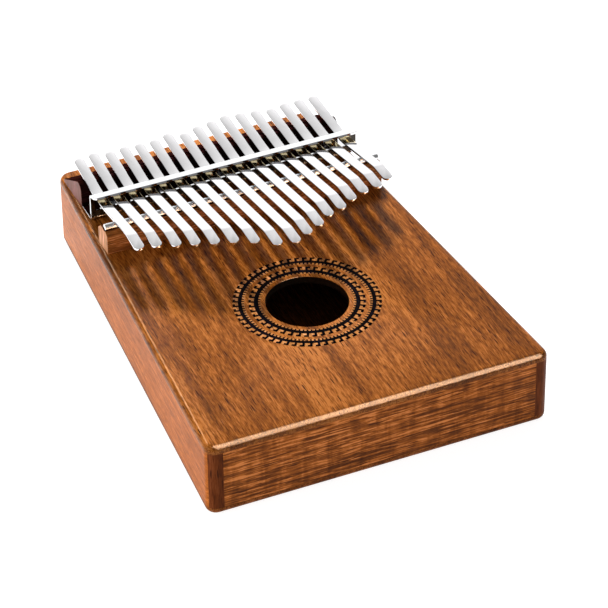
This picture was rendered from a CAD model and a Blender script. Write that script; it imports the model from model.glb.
import math

import bmesh
import bpy
from mathutils import Matrix, Vector


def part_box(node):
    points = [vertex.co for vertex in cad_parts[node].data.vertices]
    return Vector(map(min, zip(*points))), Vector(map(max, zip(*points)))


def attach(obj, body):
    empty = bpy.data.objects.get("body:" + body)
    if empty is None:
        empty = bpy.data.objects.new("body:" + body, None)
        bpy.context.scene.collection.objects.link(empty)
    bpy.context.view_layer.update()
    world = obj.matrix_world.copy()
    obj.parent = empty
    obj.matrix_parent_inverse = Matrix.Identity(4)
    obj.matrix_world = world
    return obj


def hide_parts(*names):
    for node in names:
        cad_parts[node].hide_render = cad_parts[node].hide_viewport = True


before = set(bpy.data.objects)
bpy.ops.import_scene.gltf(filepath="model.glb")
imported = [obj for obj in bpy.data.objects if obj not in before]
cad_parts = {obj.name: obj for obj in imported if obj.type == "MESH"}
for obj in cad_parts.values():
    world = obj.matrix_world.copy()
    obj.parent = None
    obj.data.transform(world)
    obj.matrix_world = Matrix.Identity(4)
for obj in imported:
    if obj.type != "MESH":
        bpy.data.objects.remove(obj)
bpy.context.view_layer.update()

# Camera
# A long lens at the player's front left, which looks down on the sound board and along the left
# side. Its azimuth, elevation and slight roll are turned into the camera's own axes here.
camera_az = math.radians(-23.7)
camera_el = math.radians(36.61)
camera_roll = math.radians(-0.64)
camera_place = Vector((-0.40159, -0.93811, 0.76955))
back = Vector((math.sin(camera_az) * math.cos(camera_el),
               -math.cos(camera_az) * math.cos(camera_el), math.sin(camera_el)))
level = Vector((math.cos(camera_az), math.sin(camera_az), 0))
upward = back.cross(level)
right = math.cos(camera_roll) * level + math.sin(camera_roll) * upward
upward = math.cos(camera_roll) * upward - math.sin(camera_roll) * level
lens = bpy.data.cameras.new("camera")
lens.lens = 199.15
lens.sensor_width = 36  # millimetres
lens.clip_end = 20
camera = bpy.data.objects.new("camera", lens)
turn = Matrix((right, upward, back)).transposed().to_4x4()
camera.matrix_world = Matrix.Translation(camera_place) @ turn
bpy.context.collection.objects.link(camera)
scene = bpy.context.scene
scene.camera = camera
scene.view_settings.view_transform = "Standard"

# Studio
# A white sweep behind the far end, which the steel mirrors, and a dim room on the player's side. A
# key light behind throws the tines' shadows forward, a box at the left lights the long side, and
# a strip overhead and a small box behind draw the highlights along the rounded edges.
sky = bpy.data.worlds.new("studio")
scene.world = sky
sky.use_nodes = True
sky_nodes = sky.node_tree.nodes
sky_links = sky.node_tree.links
spot = sky_nodes.new("ShaderNodeTexCoord")
toward = sky_nodes.new("ShaderNodeVectorMath")
toward.operation = "DOT_PRODUCT"
toward.inputs[1].default_value = (0.323, 0.888, 0.328)  # where the sweep is brightest
shade = sky_nodes.new("ShaderNodeValToRGB")
shade.color_ramp.elements[0].position = 0.0
shade.color_ramp.elements[0].color = (0.17, 0.17, 0.17, 1)
shade.color_ramp.elements[1].position = 1.0
shade.color_ramp.elements[1].color = (1.0, 1.0, 1.0, 1)
for dot, value in ((0.2, 0.13), (0.6, 0.20), (0.85, 0.50), (0.95, 0.74)):
    shade.color_ramp.elements.new(dot).color = (value, value, value, 1)
sky_links.new(spot.outputs["Generated"], toward.inputs[0])
sky_links.new(toward.outputs["Value"], shade.inputs[0])
sky_links.new(shade.outputs[0], sky_nodes["Background"].inputs["Color"])
sky_nodes["Background"].inputs["Strength"].default_value = 1.25


def soft_box(name, place, size, watts, colour=(1, 1, 1)):
    """A rectangular lamp at a place, aimed at the middle of the sound box."""
    light = bpy.data.lights.new(name, "AREA")
    light.shape = "RECTANGLE"
    light.size, light.size_y = size
    light.energy = watts
    light.color = colour
    lamp = bpy.data.objects.new(name, light)
    lamp.location = place
    aim = Vector((0, 0, 0.02)) - Vector(place)
    lamp.rotation_euler = aim.to_track_quat("-Z", "Y").to_euler()
    bpy.context.collection.objects.link(lamp)
    return lamp


left_box = soft_box("left_box", (-1.3, 0.05, 0.55), (0.9, 0.7), 11)
key = soft_box("key", (0.27, 1.17, 0.90), (0.13, 0.34), 46)
left_box.visible_glossy = key.visible_glossy = False
warm = (1.0, 0.72, 0.46)
strip = soft_box("strip", (0.43, -0.68, 1.15), (0.9, 2.2), 470, warm)
edge = soft_box("edge", (-0.35, 1.03, 0.88), (0.3, 0.3), 9, warm)
strip.visible_diffuse = edge.visible_diffuse = False

# Table
# A plain white sheet under the instrument, wide enough that no edge of it shows. It glows a
# little, so that it stays white in the shade of the box.
table_mesh = bmesh.new()
bmesh.ops.create_grid(table_mesh, x_segments=1, y_segments=1, size=6)
table_data = bpy.data.meshes.new("table")
table_mesh.to_mesh(table_data)
table = bpy.data.objects.new("table", table_data)
bpy.context.collection.objects.link(table)
table_look = bpy.data.materials.new("white_sheet")
table_look.use_nodes = True
table_shader = table_look.node_tree.nodes["Principled BSDF"]
table_shader.inputs["Base Color"].default_value = (0.35, 0.35, 0.35, 1)
table_shader.inputs["Roughness"].default_value = 0.9
table_shader.inputs["Emission Color"].default_value = (1, 1, 1, 1)
table_shader.inputs["Emission Strength"].default_value = 0.92
table_data.materials.append(table_look)

# Top plate
# One piece of warm brown hardwood with its grain along the box, rounded all round its upper edge,
# drilled for the sound hole and lacquered to a gloss. It is glued on the rails and the walls.
MM = 0.001
body_len, front_w, back_w, body_h = 183 * MM, 135 * MM, 108 * MM, 30.5 * MM
board_t = 3 * MM
corner_r, edge_r = 4.4 * MM, 2.5 * MM
hole_r, hole_y = 15.5 * MM, -26.2 * MM
hole_lip_r = 0.25 * MM
taper = math.atan((front_w - back_w) / 2 / body_len)
edge_steps = 10
flat_area = 20 * MM * MM
crease = math.radians(20)
touching = 1e-6


def show(name, mesh, looks, nodes, body="soundbox", smooth=True):
    """Turns a finished bmesh into a piece with its materials, body, slot and CAD nodes.

    Faces over flat_area stay flat, so that a rounded edge doesn't shade the face beside it.
    """
    bmesh.ops.recalc_face_normals(mesh, faces=mesh.faces)
    data = bpy.data.meshes.new(name)
    mesh.to_mesh(data)
    mesh.free()
    piece = bpy.data.objects.new(name, data)
    bpy.context.collection.objects.link(piece)
    for look in looks:
        data.materials.append(look)
    for face in data.polygons:
        face.use_smooth = smooth and face.area < flat_area
    if smooth:
        data.set_sharp_from_angle(angle=crease)
    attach(piece, body)
    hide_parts(*nodes)
    return piece


def box_outline(z):
    """The plan of the sound box as one face at a height, its four corners rounded."""
    mesh = bmesh.new()
    plan = ((-front_w, -body_len), (front_w, -body_len), (back_w, body_len), (-back_w, body_len))
    corners = [mesh.verts.new((x / 2, y / 2, z)) for x, y in plan]
    mesh.faces.new(corners)
    bmesh.ops.bevel(mesh, geom=corners, offset=corner_r, offset_type="OFFSET", affect="VERTICES",
                    segments=8, profile=0.5, material=-1)
    return mesh


def thicken(mesh, move):
    """Extrudes all the faces of a flat mesh, and shifts the copy to give them a thickness."""
    made = bmesh.ops.extrude_face_region(mesh, geom=list(mesh.faces), use_keep_orig=True)
    copy = [item for item in made["geom"] if isinstance(item, bmesh.types.BMVert)]
    bmesh.ops.translate(mesh, verts=copy, vec=move)
    mesh.normal_update()


def from_hole(point):
    """How far a point is from the axis of the sound hole."""
    return math.hypot(point.x, point.y - hole_y)


def round_rim(mesh, z):
    """Rounds the outside edges of the plan at a height."""
    rim = [e for e in mesh.edges
           if all(abs(v.co.z - z) < touching and from_hole(v.co) > 2 * hole_r for v in e.verts)
           and any(abs(face.normal.z) < 0.5 for face in e.link_faces)]
    bmesh.ops.bevel(mesh, geom=rim, offset=edge_r, offset_type="OFFSET", affect="EDGES",
                    segments=edge_steps, profile=0.5, material=-1)


def wood(name, colour, along="Y", gloss=0.16, shine=0.10, pores=0.95, seed=0.0, stripe=1.0,
         contrast=1.0, figure=0.0, lines=0.10, heart=None):
    """Oiled or lacquered hardwood: broad stripes, fine fibre and short dark pores on the grain.

    gloss is the lowest roughness, stripe and contrast scale the bands, figure adds patches across
    the grain, lines adds wavy lines, and heart is (middle, reach, extra), a paler stripe along Y.
    """
    look = bpy.data.materials.new(name)
    look.use_nodes = True
    nodes, links = look.node_tree.nodes, look.node_tree.links
    shader = nodes["Principled BSDF"]
    place = nodes.new("ShaderNodeTexCoord")

    def stretched(lengthwise, shift):
        mapping = nodes.new("ShaderNodeMapping")
        mapping.inputs["Scale"].default_value = {"X": (lengthwise, 1, 1), "Y": (1, lengthwise, 1),
                                                 "Z": (1, 1, lengthwise)}[along]
        mapping.inputs["Location"].default_value = (shift + seed, seed * 0.7, shift)
        links.new(place.outputs["Object"], mapping.inputs["Vector"])
        return mapping.outputs[0]

    def noise(vector, scale, detail, distortion=0.0):
        node = nodes.new("ShaderNodeTexNoise")
        node.inputs["Scale"].default_value = scale
        node.inputs["Detail"].default_value = detail
        node.inputs["Roughness"].default_value = 0.6
        node.inputs["Distortion"].default_value = distortion
        links.new(vector, node.inputs["Vector"])
        return node.outputs[0]

    def spread(value, low, high, at_low, at_high):
        node = nodes.new("ShaderNodeMapRange")
        for socket, number in zip(("From Min", "From Max", "To Min", "To Max"),
                                  (low, high, at_low, at_high)):
            node.inputs[socket].default_value = number
        links.new(value, node.inputs["Value"])
        return node.outputs[0]

    def times(a, b):
        node = nodes.new("ShaderNodeMath")
        node.operation = "MULTIPLY"
        links.new(a, node.inputs[0])
        links.new(b, node.inputs[1])
        return node.outputs[0]

    def swing(amount):
        return 1 - amount * contrast, 1 + amount * contrast

    bands = noise(stretched(0.05, 3), scale=95 * stripe, detail=4, distortion=0.5)
    fibre = noise(stretched(0.05, 7), scale=950, detail=4)
    fine = noise(stretched(0.11, 9), scale=2400, detail=3)
    cloud = noise(stretched(0.6, 11), scale=22, detail=3)
    wavy = noise(stretched(0.045, 5), scale=860, detail=2, distortion=1.4)
    tone = times(spread(bands, 0.36, 0.64, *swing(0.42)), spread(fibre, 0.34, 0.66, *swing(0.46)))
    tone = times(tone, spread(fine, 0.34, 0.66, *swing(0.60)))
    tone = times(tone, spread(cloud, 0.3, 0.7, *swing(0.16)))
    tone = times(tone, spread(wavy, 0.40, 0.60, 1 - lines, 1 + lines * 0.6))
    if heart:
        middle, reach, extra = heart
        apart = nodes.new("ShaderNodeSeparateXYZ")
        links.new(place.outputs["Object"], apart.inputs[0])
        off = nodes.new("ShaderNodeMath")
        off.operation = "SUBTRACT"
        off.inputs[1].default_value = middle
        links.new(apart.outputs["X"], off.inputs[0])
        far = nodes.new("ShaderNodeMath")
        far.operation = "ABSOLUTE"
        links.new(off.outputs[0], far.inputs[0])
        tone = times(tone, spread(far.outputs[0], 0.0, reach, 1 + extra, 1.0))
    if figure:
        across = nodes.new("ShaderNodeMapping")
        across.inputs["Scale"].default_value = {"X": (1, 0.3, 0.2), "Y": (0.2, 1, 0.2),
                                                "Z": (1, 1, 1)}[along]
        links.new(place.outputs["Object"], across.inputs["Vector"])
        patches = noise(across.outputs[0], scale=300, detail=2, distortion=0.4)
        tone = times(tone, spread(patches, 0.35, 0.65, 1 - figure, 1 + figure))
    pore = nodes.new("ShaderNodeTexVoronoi")
    pore.inputs["Scale"].default_value = 950
    links.new(stretched(0.10, 19), pore.inputs["Vector"])
    holes = spread(pore.outputs["Distance"], 0.14, 0.23, 0.0, 1.0)
    clear = spread(noise(stretched(0.2, 23), scale=170, detail=3), 0.38, 0.50, 1.0, 0.0)
    either = nodes.new("ShaderNodeMath")
    either.operation = "MAXIMUM"
    links.new(holes, either.inputs[0])
    links.new(clear, either.inputs[1])
    tone = times(tone, spread(either.outputs[0], 0.0, 1.0, 1 - pores, 1.0))
    dyed = nodes.new("ShaderNodeValToRGB")
    stops = dyed.color_ramp.elements
    darkest = [c * 0.10 * w for c, w in zip(colour, (1, 0.75, 0.5))]
    palest = [min(1, c * 1.75 * w) for c, w in zip(colour, (1, 1.2, 2.2))]
    stops[0].position, stops[0].color = 0.0, (*darkest, 1)
    stops[1].position, stops[1].color = 1.0, (*palest, 1)
    stops.new(0.53).color = (*colour, 1)
    links.new(spread(tone, 0.0, 1.9, 0.0, 1.0), dyed.inputs[0])
    links.new(dyed.outputs[0], shader.inputs["Base Color"])
    links.new(spread(fibre, 0.3, 0.7, gloss + 0.08, gloss), shader.inputs["Roughness"])
    shader.inputs["Specular IOR Level"].default_value = shine
    relief = nodes.new("ShaderNodeBump")
    relief.inputs["Strength"].default_value = 0.25
    relief.inputs["Distance"].default_value = 0.0001
    links.new(either.outputs[0], relief.inputs["Height"])
    links.new(relief.outputs[0], shader.inputs["Normal"])
    return look


board_wood = wood("board_wood", (0.222, 0.061, 0.006), heart=(0.0, 0.045, 0.45))
board_edge = wood("board_edge", (0.62, 0.23, 0.060), gloss=0.12, shine=0.2, contrast=0.5)
hole_stain = wood("hole_stain", (0.008, 0.003, 0.001), gloss=0.4, shine=0.02)

board = box_outline(body_h)
bmesh.ops.create_circle(board, radius=hole_r, segments=128,
                        matrix=Matrix.Translation((0, hole_y, body_h)))
bmesh.ops.delete(board, geom=list(board.faces), context="FACES_ONLY")
bmesh.ops.triangle_fill(board, edges=list(board.edges), use_beauty=True, normal=(0, 0, 1))
thicken(board, (0, 0, -board_t))
round_rim(board, body_h)
hole_lip = [e for e in board.edges
            if all(abs(v.co.z - body_h) < touching and
                   abs(from_hole(v.co) - hole_r) < 10 * touching for v in e.verts)]
bmesh.ops.bevel(board, geom=hole_lip, offset=hole_lip_r, offset_type="OFFSET", affect="EDGES",
                segments=3, profile=0.5, material=-1)
board.normal_update()
for face in board.faces:
    middle = face.calc_center_median()
    if abs(face.normal.z) < 0.3 and from_hole(middle) < hole_r * 1.01:
        face.material_index = 1
    elif 0.1 < face.normal.z < 0.985 and middle.z > body_h - edge_r:
        face.material_index = 2
top = show("top_plate_wood", board, [board_wood, hole_stain, board_edge],
           nodes=["top_plate"])
lacquered = bpy.data.collections.new("lacquered")
lacquered.objects.link(top)
strip.light_linking.receiver_collection = lacquered
edge.light_linking.receiver_collection = lacquered

# Back plate
# The same hardwood as the top with a duller finish, rounded all round its lower edge. It is glued
# on the rails and the walls and closes the box from below.
floor_board = box_outline(board_t)
thicken(floor_board, (0, 0, -board_t))
round_rim(floor_board, 0)
back_wood = wood("back_wood", (0.17, 0.045, 0.006), gloss=0.26, shine=0.03, seed=4)
show("back_plate_wood", floor_board, [back_wood], nodes=["back_plate"])

# Side rails
# Two long hardwood rails between the plates. Their faces are pinkish brown and even, and their
# darker end grain shows at the front and back corners of the box.
rail_t = 6 * MM
rail_wood = wood("rail_wood", (0.43, 0.110, 0.010), gloss=0.3, shine=0.05, pores=0.4, seed=9,
                 contrast=0.45)
end_grain = wood("end_grain", (0.13, 0.028, 0.004), along="Z", gloss=0.3, shine=0.04, seed=13,
                 contrast=0.6)


def box_band(cuts):
    """The height of the box between its plates, cut down by planes given as (point, normal)."""
    mesh = box_outline(board_t)
    thicken(mesh, (0, 0, body_h - 2 * board_t))
    for point, normal in cuts:
        everything = list(mesh.verts) + list(mesh.edges) + list(mesh.faces)
        cut = bmesh.ops.bisect_plane(mesh, geom=everything, plane_co=point, plane_no=normal,
                                     clear_outer=True)
        open_edges = [e for e in cut["geom_cut"] if isinstance(e, bmesh.types.BMEdge)]
        bmesh.ops.contextual_create(mesh, geom=open_edges)
    return mesh


def inner_side(side):
    """A point on the inner face of a rail, and the direction from there out of the box."""
    outward = Vector((side * math.cos(taper), math.sin(taper), 0))
    point = Vector((side * (front_w + back_w) / 4, 0, 0)) - rail_t * outward
    return point, outward


for side, name in ((-1, "left"), (1, "right")):
    point, outward = inner_side(side)
    rail = box_band([(point, -outward)])
    rail.normal_update()
    for face in rail.faces:
        if abs(face.normal.y) > 0.5:
            face.material_index = 1
    show("side_rail_" + name + "_wood", rail, [rail_wood, end_grain],
         nodes=["side_rail_" + name])

# Front and back walls
# Two cross walls let in between the rails. Their grain runs across the box, with dark wavy lines
# and a faint cross figure.
wall_t = 6 * MM
wall_wood = wood("wall_wood", (0.40, 0.108, 0.015), along="X", shine=0.06, seed=17, stripe=2.6,
                 contrast=0.75, figure=0.30, lines=0.75)
for name, end in (("front", -1), ("back", 1)):
    left_point, left_out = inner_side(-1)
    right_point, right_out = inner_side(1)
    wall = box_band([(left_point, left_out), (right_point, right_out),
                     (Vector((0, end * (body_len / 2 - wall_t), 0)), Vector((0, -end, 0)))])
    show(name + "_wall_wood", wall, [wall_wood], nodes=[name + "_wall"])

# Bridge brace
# A bare bar of paler wood glued under the top plate, into which the bracket's screws bite. It
# is hidden in the box, so the solid model's own bar stays and takes the wood's finish.
brace_wood = wood("brace_wood", (0.46, 0.28, 0.14), along="X", gloss=0.6, shine=0.1, seed=21)
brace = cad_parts["bridge_brace"]
brace.data.materials.clear()
brace.data.materials.append(brace_wood)

# Rosette
# Two inlaid bands of light wood round the sound hole. Each carries a black ring with fine teeth
# on its inner side and a row of bent hooks on its outer side. The inlay stands a hair above the
# board, so that it shows clean.
light_inlay = wood("light_inlay", (0.44, 0.165, 0.038), seed=29, contrast=0.6)
black_inlay = wood("black_inlay", (0.003, 0.002, 0.002), shine=0.01, seed=31)
band_w, band_t = 4.4 * MM, 0.6 * MM
ground_up, black_up = 0.03 * MM, 0.06 * MM
black_sunk, bite = 0.1 * MM, 0.1 * MM
tooth_w = 0.62 * MM
stem_w, stem_side = 0.95 * MM, 0.42 * MM
bend_w, bend_len, bend_side = 0.95 * MM, 1.85 * MM, -0.03 * MM


def ring(mesh, r0, r1, z0, z1):
    """A flat washer from radius r0 to r1 and height z0 to z1 round the sound hole."""
    corners = [mesh.verts.new((r, hole_y, z)) for r, z in ((r0, z0), (r1, z0), (r1, z1), (r0, z1))]
    edges = [mesh.edges.new((a, b)) for a, b in zip(corners, corners[1:] + corners[:1])]
    bmesh.ops.spin(mesh, geom=corners + edges, cent=(0, hole_y, 0), axis=(0, 0, 1),
                   angle=math.tau, steps=160, use_merge=True)


def inlay_block(mesh, r0, r1, width, angle, sideways=0.0):
    """A small black block from radius r0 to r1, shifted sideways from the spoke at an angle."""
    made = bmesh.ops.create_cube(mesh, size=1)
    spoke = Matrix.Translation((0, hole_y, 0)) @ Matrix.Rotation(angle, 4, "Z")
    place = Matrix.Translation(((r0 + r1) / 2, sideways, body_h + black_up - black_sunk))
    shape = place @ Matrix.Diagonal((r1 - r0, width, 2 * black_sunk, 1))
    bmesh.ops.transform(mesh, matrix=spoke @ shape, verts=made["verts"])


for name, r0, teeth, tooth_l, ring_w, hooks in (("inner", 17.3 * MM, 76, 0.8 * MM, 1.6 * MM, 44),
                                                ("outer", 23.2 * MM, 104, 1.0 * MM, 1.4 * MM, 58)):
    band = bmesh.new()
    ring(band, r0, r0 + band_w, body_h - band_t, body_h + ground_up)
    show("rosette_" + name + "_ground", band, [light_inlay],
         nodes=["rosette_" + name + "_band"])
    pattern = bmesh.new()
    ring_in = r0 + tooth_l
    ring_out = ring_in + ring_w
    ring(pattern, ring_in, ring_out, body_h - black_sunk, body_h + black_up)
    for i in range(teeth):
        inlay_block(pattern, r0 + bite, ring_in + bite, tooth_w, math.tau * i / teeth)
    for i in range(hooks):
        angle = math.tau * i / hooks
        inlay_block(pattern, ring_out - bite, r0 + band_w, stem_w, angle, stem_side)
        inlay_block(pattern, r0 + band_w - bend_w, r0 + band_w, bend_len, angle, bend_side)
    show("rosette_" + name + "_pattern", pattern, [black_inlay],
         nodes=["rosette_" + name + "_band"], smooth=False)

# Front bridge
# A brown hardwood block glued across the board, with its grain along its length. Its shoulders
# slope up to a groove that holds the saddle rod.
saddle_y, rod_r, rod_z = 35.4 * MM, 1.3 * MM, 40.8 * MM
bridge_x, bridge_len, bridge_h = 0.85 * MM, 113.8 * MM, 9.5 * MM
bridge_front, bridge_back = 3.4 * MM, 6 * MM
front_slope, back_slope = 1.3 * MM, 2.4 * MM
groove_front, groove_back, ridge_back = 1.3 * MM, 1.6 * MM, 3.0 * MM
groove_r, block_edge_r = rod_r + 0.05 * MM, 0.22 * MM
shade_y = saddle_y - 1.4 * MM
bridge_wood = wood("front_bridge_wood", (0.34, 0.11, 0.022), along="X", gloss=0.34, seed=37,
                   stripe=4)
bridge_end = wood("front_bridge_end", (0.55, 0.24, 0.10), along="Z", gloss=0.4, shine=0.1,
                  seed=41, stripe=4, contrast=0.5)


def bar(profile, x0, x1):
    """A bar along X from a side profile given as (y, z) points."""
    mesh = bmesh.new()
    mesh.faces.new([mesh.verts.new((x0, y, z)) for y, z in profile])
    thicken(mesh, (x1 - x0, 0, 0))
    return mesh


def soften(mesh, size, angle, segments=2):
    """Rounds every edge that turns by more than an angle in degrees."""
    bmesh.ops.recalc_face_normals(mesh, faces=mesh.faces)
    sharp = [e for e in mesh.edges if len(e.link_faces) == 2 and
             e.calc_face_angle(0) > math.radians(angle)]
    bmesh.ops.bevel(mesh, geom=sharp, offset=size, offset_type="OFFSET", affect="EDGES",
                    segments=segments, profile=0.5, material=-1, clamp_overlap=True)


seat = body_h + bridge_h
groove = [(saddle_y + groove_r * math.cos(math.radians(a)),
           rod_z + groove_r * math.sin(math.radians(a))) for a in range(-38, -143, -15)]
behind = [(saddle_y + bridge_back, body_h), (saddle_y + bridge_back, seat - back_slope),
          (saddle_y + ridge_back, seat), (saddle_y + groove_back, seat)]
before = [(saddle_y - groove_front, seat), (saddle_y - bridge_front, seat - front_slope),
          (saddle_y - bridge_front, body_h)]
block = bar(behind + groove + before, bridge_x - bridge_len / 2, bridge_x + bridge_len / 2)
soften(block, block_edge_r, 30)
block.normal_update()
for face in block.faces:  # end grain at the ends, and a dark stain behind the front slope
    if abs(face.normal.x) > 0.8:
        face.material_index = 1
    elif face.calc_center_median().y > shade_y:
        face.material_index = 2
bridge_shade = wood("front_bridge_shade", (0.05, 0.014, 0.004), along="X", shine=0.02, seed=39)
show("front_bridge_block", block, [bridge_wood, bridge_end, bridge_shade],
     nodes=["front_bridge"])

# Saddle rod
# A polished chromed bar that lies in the groove of the front bridge and carries the tines. It is
# a little shorter than the bridge, with its ends broken.
rod_short, rod_end_r = 0.8 * MM, 0.2 * MM


def metal(name, colour, rough, along, scratch=0.04):
    """Bright metal with fine drawn lines, faint smears and slight changes of tone."""
    look = bpy.data.materials.new(name)
    look.use_nodes = True
    nodes, links = look.node_tree.nodes, look.node_tree.links
    shader = nodes["Principled BSDF"]
    shader.inputs["Metallic"].default_value = 1.0
    place = nodes.new("ShaderNodeTexCoord")
    mapping = nodes.new("ShaderNodeMapping")
    mapping.inputs["Scale"].default_value = {"X": (0.03, 1, 1), "Y": (1, 0.03, 1),
                                             "Z": (1, 1, 0.03)}[along]
    links.new(place.outputs["Object"], mapping.inputs["Vector"])
    lines = nodes.new("ShaderNodeTexNoise")
    lines.inputs["Scale"].default_value = 900
    lines.inputs["Detail"].default_value = 4
    links.new(mapping.outputs[0], lines.inputs["Vector"])
    smear = nodes.new("ShaderNodeTexNoise")
    smear.inputs["Scale"].default_value = 180
    smear.inputs["Detail"].default_value = 3
    links.new(place.outputs["Object"], smear.inputs["Vector"])
    tone = nodes.new("ShaderNodeValToRGB")
    stops = tone.color_ramp.elements
    stops[0].position, stops[0].color = 0.3, (*(c * 0.94 for c in colour), 1)
    stops[1].position, stops[1].color = 0.7, (*colour, 1)
    links.new(smear.outputs[0], tone.inputs[0])
    links.new(tone.outputs[0], shader.inputs["Base Color"])
    dull = nodes.new("ShaderNodeMapRange")
    dull.inputs["To Min"].default_value = rough
    dull.inputs["To Max"].default_value = rough + scratch
    links.new(lines.outputs[0], dull.inputs["Value"])
    links.new(dull.outputs[0], shader.inputs["Roughness"])
    relief = nodes.new("ShaderNodeBump")
    relief.inputs["Strength"].default_value = 0.02
    relief.inputs["Distance"].default_value = 0.0001
    links.new(lines.outputs[0], relief.inputs["Height"])
    links.new(relief.outputs[0], shader.inputs["Normal"])
    return look


rod_chrome = metal("rod_chrome", (0.90, 0.90, 0.91), 0.03, "X", scratch=0.02)
rod = bmesh.new()
bmesh.ops.create_cone(rod, cap_ends=True, segments=48, radius1=rod_r, radius2=rod_r,
                      depth=bridge_len - rod_short,
                      matrix=Matrix.Translation((bridge_x, saddle_y, rod_z)) @
                      Matrix.Rotation(math.pi / 2, 4, "Y"))
soften(rod, rod_end_r, 60)
show("saddle_rod_chrome", rod, [rod_chrome], nodes=["saddle_rod"])

# Rear bridge
# A very dark red brown hardwood block behind the bracket. Its front is upright, its ridge is
# rounded, and it slopes down to a thin edge at the back.
rear_y, rear_d, ridge_r = 65.3 * MM, 19.5 * MM, 3 * MM
rear_x, rear_len, rear_edge, rear_edge_r = 0.25 * MM, 108 * MM, 1 * MM, 0.2 * MM
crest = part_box("rear_bridge")[1][2]
rear_wood = wood("rear_bridge_wood", (0.014, 0.003, 0.002), along="X", gloss=0.3, shine=0.0,
                 seed=43, stripe=2)
rear_end = wood("rear_bridge_end", (0.16, 0.045, 0.026), along="Z", gloss=0.35, shine=0.1,
                seed=47, contrast=0.5)
ridge = [(rear_y + ridge_r * (1 - math.cos(math.radians(a))),
          crest - ridge_r + ridge_r * math.sin(math.radians(a))) for a in range(0, 101, 10)]
rear_block = bar([(rear_y, body_h)] + ridge +
                 [(rear_y + rear_d, body_h + rear_edge), (rear_y + rear_d, body_h)],
                 rear_x - rear_len / 2, rear_x + rear_len / 2)
soften(rear_block, rear_edge_r, 30)
rear_block.normal_update()
for face in rear_block.faces:
    if abs(face.normal.x) > 0.8:
        face.material_index = 1
show("rear_bridge_block", rear_block, [rear_wood, rear_end],
     nodes=["rear_bridge"])

# Tines
# Seventeen strips of bright spring steel. Each rests on the rear bridge and the saddle rod, dips
# where the bracket presses on it, and ends in a flattened, rounded playing tip.
tine_count, pitch, tine_shift = 17, 6.38 * MM, 1.05 * MM
tine_w, tine_t, tine_edge_r = 4.1 * MM, 1 * MM, 0.2 * MM
tip_r = tine_w / 2
rod_gap = 0.1 * MM
fan, fan_turn = math.radians(0.215), math.radians(0.55)
rise, rear_slope, tip_fall = math.radians(9.4), math.radians(5.7), math.radians(3)
valley, valley_r, tip_len, bend_r = 18.4 * MM, 60 * MM, 9.5 * MM, 9 * MM
tine_steel = metal("tine_steel", (0.90, 0.89, 0.90), 0.03, "Y")


def tine_turn(i):
    """The angle by which a tine is turned from the length of the box, and its place at the rod."""
    order = i - (tine_count - 1) // 2
    return fan_turn + order * fan, tine_shift + order * pitch


def reach(i, end):
    """A tine's length from the rod to its front or rear end, to the tenth of a millimetre."""
    along_box = abs(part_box("tine_%02d" % (i + 1))[end][1] - saddle_y)
    return round((along_box - tip_r) / math.cos(tine_turn(i)[0]) + tip_r, 4)


def corner_height(d, corner, before, after, radius):
    """Height along two straight runs of given slopes that meet at a corner with a round bend."""
    half = (after - before) / 2
    run = abs(radius * math.tan(half))
    if d <= corner - run * math.cos(before):
        return (d - corner) * math.tan(before)
    if d >= corner + run * math.cos(after):
        return (d - corner) * math.tan(after)
    share = (d - corner + run * math.cos(before)) / (run * (math.cos(before) + math.cos(after)))
    start = -run * math.sin(before)
    slope0, slope1 = math.tan(before), math.tan(after)
    length = run * (math.cos(before) + math.cos(after))
    return start + length * (slope0 * share + (slope1 - slope0) * share * share / 2)


def tine_height(d, front):
    """Height of a tine's middle line above the rod's axis, a distance in front of the saddle."""
    mid_line = (rod_r + rod_gap + tine_t / 2) / math.cos(rise)
    flat = front - tip_len
    if d < 0:
        dip = corner_height(d, -valley, -rear_slope, rise, valley_r)
        return mid_line - valley * math.tan(rise) + dip
    return mid_line + flat * math.tan(rise) + corner_height(d, flat, rise, -tip_fall, bend_r)


for i in range(tine_count):
    front, rear = reach(i, 0), reach(i, 1)
    tine = bmesh.new()
    ends = [(math.radians(180 + 15 * k), tip_r - front) for k in range(13)]
    ends += [(math.radians(15 * k), rear - tip_r) for k in range(13)]
    tine.faces.new([tine.verts.new((tip_r * math.cos(a), y + tip_r * math.sin(a), -tine_t / 2))
                    for a, y in ends])
    thicken(tine, (0, 0, tine_t))
    soften(tine, tine_edge_r, 60, segments=3)
    cuts = [valley + k * 1.6 * MM for k in range(-6, 7)]
    cuts += [tip_len - front + k * 0.45 * MM for k in range(-5, 6)]
    for y in cuts:
        bmesh.ops.bisect_plane(tine, geom=list(tine.verts) + list(tine.edges) + list(tine.faces),
                               plane_co=(0, y, 0), plane_no=(0, 1, 0))
    for vert in tine.verts:
        d, near = -vert.co.y, 0.05 * MM
        slope = (tine_height(d + near, front) - tine_height(d - near, front)) / (2 * near)
        vert.co.z = tine_height(d, front) + vert.co.z * math.sqrt(1 + slope * slope)
    angle, x = tine_turn(i)
    place = Matrix.Translation((x, saddle_y, rod_z)) @ Matrix.Rotation(angle, 4, "Z")
    bmesh.ops.transform(tine, matrix=place, verts=tine.verts)
    name = "tine_%02d" % (i + 1)
    show(name + "_steel", tine, [tine_steel], body=name, nodes=[name])

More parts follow.
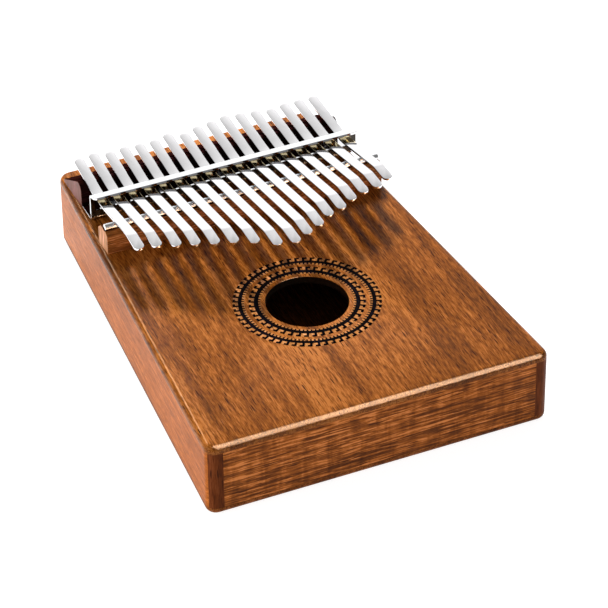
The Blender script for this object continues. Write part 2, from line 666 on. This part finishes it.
# Pressure bracket
# One sheet of chromed steel folded into a foot, an upright with a window for each tine, and a
# short lip that slopes up towards the player.
sheet_t, web_y, bracket_h = 0.9 * MM, 55.0 * MM, 12.2 * MM
bracket_x, bracket_len = 1.75 * MM, 111 * MM
foot_d, lip_len, lip_slope, fold_r = 10.2 * MM, 3.5 * MM, math.radians(10), 0.8 * MM
sill, window_top, window_w = body_h + 4.6 * MM, body_h + 10.92 * MM, tine_w + 0.7 * MM
lip_corner_r, burr_r = 2.6 * MM, 0.12 * MM
bracket_chrome = metal("bracket_chrome", (0.92, 0.92, 0.93), 0.03, "X", scratch=0.03)
bracket_shade = metal("bracket_shade", (0.05, 0.045, 0.04), 0.25, "Z")
bracket_under = metal("bracket_under", (0.86, 0.74, 0.45), 0.12, "X")


def fold(cy, cz, radius, a0, a1, steps=6):
    """Points (y, z) along a fold, with angles measured from the player's side upwards."""
    angles = [math.radians(a0 + (a1 - a0) * k / steps) for k in range(steps + 1)]
    return [(cy - radius * math.cos(a), cz + radius * math.sin(a)) for a in angles]


outer_r = fold_r + sheet_t
low_y, low_z = web_y + outer_r, body_h + outer_r
high_y, high_z = web_y - fold_r, body_h + bracket_h - outer_r
skin = [(web_y + foot_d, body_h)] + fold(low_y, low_z, outer_r, -90, 0)
head = 180 - math.degrees(math.asin((window_top - high_z) / fold_r))
skin += [(web_y, sill)] + fold(high_y, high_z, fold_r, 180, head, 3)
skin += fold(high_y, high_z, fold_r, head, 100, 4)[1:]
lip_y, lip_z = skin[-1]
lip_z += lip_len * math.sin(lip_slope)
skin.append((lip_y - lip_len * math.cos(lip_slope), lip_z))
sheet = bmesh.new()
left, right = bracket_x - bracket_len / 2, bracket_x + bracket_len / 2
line = [sheet.verts.new((left, y, z)) for y, z in skin]
edges = [sheet.edges.new((a, b)) for a, b in zip(line, line[1:])]
sides = []
for i in range(tine_count):
    angle, x = tine_turn(i)
    centre = x - (web_y - saddle_y) * math.tan(angle)
    sides += [centre - window_w / 2, centre + window_w / 2]
at = left
for x in sides + [right]:
    drawn = bmesh.ops.extrude_edge_only(sheet, edges=edges)
    fresh = [g for g in drawn["geom"] if isinstance(g, bmesh.types.BMVert)]
    bmesh.ops.translate(sheet, verts=fresh, vec=(x - at, 0, 0))
    edges = [g for g in drawn["geom"] if isinstance(g, bmesh.types.BMEdge) and
             all(v in fresh for v in g.verts)]
    at = x
openings = []
for face in sheet.faces:
    middle = face.calc_center_median()
    if sill < middle.z < window_top:
        if any(sides[2 * i] < middle.x < sides[2 * i + 1] for i in range(tine_count)):
            openings.append(face)
bmesh.ops.delete(sheet, geom=openings, context="FACES")
lip_corners = [v for v in sheet.verts if abs(v.co.z - lip_z) < touching / 10 and
               min(abs(v.co.x - left), abs(v.co.x - right)) < touching / 10]
bmesh.ops.bevel(sheet, geom=lip_corners, offset=lip_corner_r, offset_type="OFFSET",
                affect="VERTICES", segments=8, profile=0.5, material=-1)
bmesh.ops.remove_doubles(sheet, verts=sheet.verts, dist=touching / 10)
bmesh.ops.recalc_face_normals(sheet, faces=sheet.faces)
sheet.normal_update()
upright = next(f for f in sheet.faces if abs(f.normal.y) > 0.99)
if upright.normal.y > 0:
    bmesh.ops.reverse_faces(sheet, faces=sheet.faces)
bmesh.ops.solidify(sheet, geom=list(sheet.faces), thickness=sheet_t)
soften(sheet, burr_r, 50)
sheet.normal_update()
for face in sheet.faces:  # brassy under the lip, and dark on the player's side of the upright
    middle = face.calc_center_median()
    if middle.y < web_y + 0.1 * MM and middle.z > body_h + 2 * MM:
        if face.normal.z < -0.6:
            face.material_index = 2
        elif face.normal.y < -0.6 and middle.y > web_y - 1 * MM:
            face.material_index = 1
show("pressure_bracket_chrome", sheet, [bracket_chrome, bracket_shade, bracket_under],
     nodes=["pressure_bracket"])

# Bracket screws
# Five plated cross head screws that go through the bracket's foot and the top plate and hold
# them down to the brace. The solid model's own screws stay and take the plated finish.
screw_steel = metal("screw_steel", (0.72, 0.72, 0.74), 0.2, "Z")
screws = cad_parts["bracket_screws"]
screws.data.materials.clear()
screws.data.materials.append(screw_steel)
